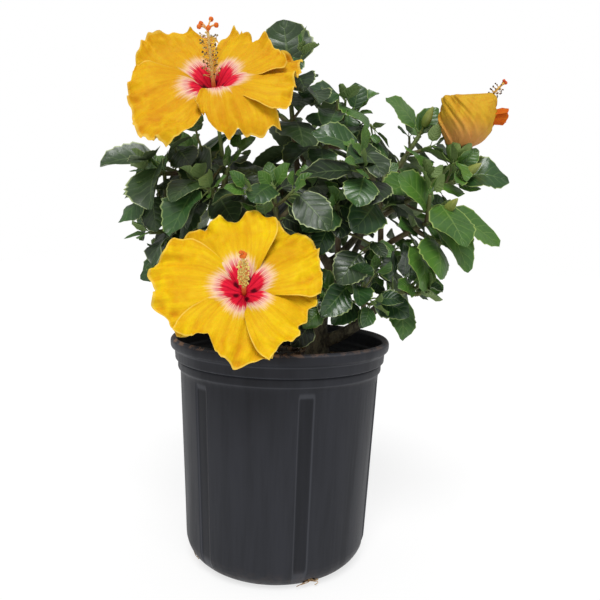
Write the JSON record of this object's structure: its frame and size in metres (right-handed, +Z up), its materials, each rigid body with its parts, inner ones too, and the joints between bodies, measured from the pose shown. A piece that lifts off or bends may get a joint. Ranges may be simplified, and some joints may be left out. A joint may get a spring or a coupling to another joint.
{
  "type": "hibiscus shrub",
  "caption": "Potted hibiscus shrub: low forked trunk, crooked boughs, glossy toothed leaves, open yellow blooms with red eyes, a furled bloom and buds, in a round black nursery pot.",
  "frame": {"origin": "centre of the pot's flat underside", "axes": "+Z up, -Y towards the front, where the open blooms look, +X to the right seen from the front"},
  "size_m": [0.454, 0.3803, 0.62],
  "materials": {
    "pot_plastic": "satin",
    "potting_mix": "rough",
    "bark": "rough",
    "foliage": "glossy",
    "petals": "satin"
  },
  "bodies": {
    "root": {"bloom_closing": "petals", "bloom_front": "petals", "bloom_top": "petals", "bough_back": "bark", "bough_back_left": "bark", "bough_back_right": "bark", "bough_front": "bark", "bough_left": "bark", "bough_left_top": "bark", "bough_middle": "bark", "bough_right_low": "bark", "bough_right_middle": "bark", "bough_right_top": "bark", "bough_top": "bark", "foliage_back": "foliage", "foliage_back_left": "foliage", "foliage_back_low": "foliage", "foliage_back_right": "foliage", "foliage_back_right_low": "foliage", "foliage_back_top": "foliage", "foliage_front": "foliage", "foliage_front_left": "foliage", "foliage_front_right": "foliage", "foliage_left": "foliage", "foliage_left_low": "foliage", "foliage_left_top": "foliage", "foliage_low": "foliage", "foliage_middle": "foliage", "foliage_right": "foliage", "foliage_right_end": "foliage", "foliage_right_low": "foliage", "foliage_right_top": "foliage", "foliage_top": "foliage", "foliage_top_right": "foliage", "pot": "pot_plastic", "potting_mix": "potting_mix", "trunk": "bark"}
  },
  "joints": []
}
